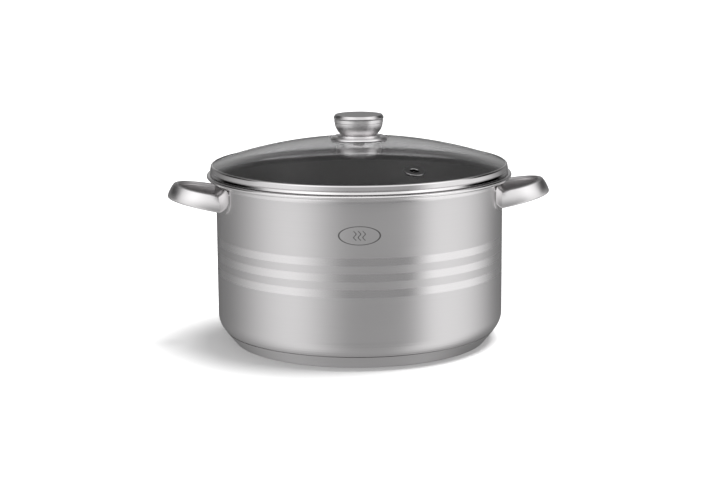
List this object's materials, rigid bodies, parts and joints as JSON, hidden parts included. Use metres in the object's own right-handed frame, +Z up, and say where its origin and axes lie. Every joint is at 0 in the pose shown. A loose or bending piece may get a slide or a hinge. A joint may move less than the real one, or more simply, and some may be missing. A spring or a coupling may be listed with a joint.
{
  "type": "stock pot",
  "caption": "Straight-walled stainless steel stock pot with rolled lip, loop side handles, encapsulated base and a domed glass lid with steel rim band, steam vent and bowl-shaped knob.",
  "frame": {"origin": "on the ground under the middle of the pot, at the underside of the base", "axes": "+Z up, +X through the right handle, +Y towards the back"},
  "size_m": [0.3744, 0.2976, 0.2219],
  "materials": {
    "satin_steel": "fine satin around the wall, with three polished rings",
    "base_steel": "turned satin",
    "polished_steel": "mirror polished stainless steel",
    "aluminium": "pressed blank",
    "glass": "clear tempered glass",
    "silicone": "matt silicone",
    "fixing_steel": "plain steel"
  },
  "bodies": {
    "pot": {"pot_shell": "satin_steel", "base_core_disc": "aluminium", "base_cap": "base_steel", "handle_saddle_right": "polished_steel", "handle_saddle_left": "polished_steel", "handle_right": "polished_steel", "handle_left": "polished_steel"},
    "lid": {"lid_glass": "glass", "lid_rim_band": "polished_steel", "steam_vent_grommet": "polished_steel", "knob_seat_gasket": "silicone", "knob_flange": "polished_steel", "knob_bowl": "polished_steel", "knob_cap": "polished_steel", "knob_boss": "fixing_steel", "knob_lower_gasket": "silicone", "knob_washer": "fixing_steel", "knob_screw": "fixing_steel"}
  },
  "joints": [
    {"name": "lid_lift", "type": "slide", "parent": "pot", "child": "lid", "axis": [0, 0, 1], "range_m": [0, 0.15]}
  ]
}
